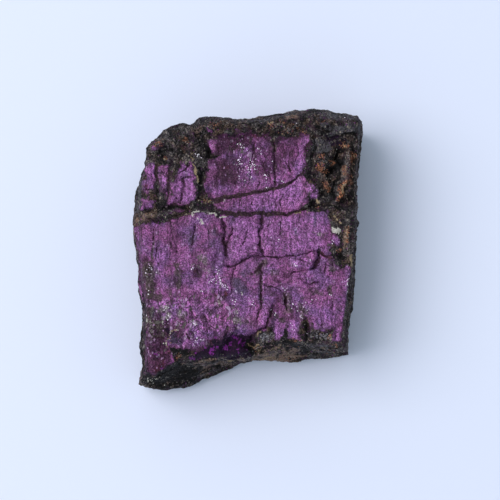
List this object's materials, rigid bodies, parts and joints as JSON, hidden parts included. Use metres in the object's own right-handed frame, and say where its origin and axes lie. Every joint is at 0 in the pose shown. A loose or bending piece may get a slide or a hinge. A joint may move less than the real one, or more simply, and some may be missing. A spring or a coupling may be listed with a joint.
{
  "type": "purpurite stone",
  "caption": "Rough slab of purpurite: a flat satin purple cleavage face crossed by dark veins and cracks, in a dark brown rind, broken on all sides.",
  "frame": {"origin": "under the middle of the slab's box, at the height of the flat spot that it rests on", "axes": "+Z out of the purple face, +Y along the slab's length towards its thick dark rim, +X across it"},
  "size_m": [0.021, 0.0246, 0.0079],
  "materials": {
    "purpurite": "satin cleavage face in a rough dull rind"
  },
  "bodies": {
    "root": {"purpurite_slab": "purpurite"}
  },
  "joints": []
}
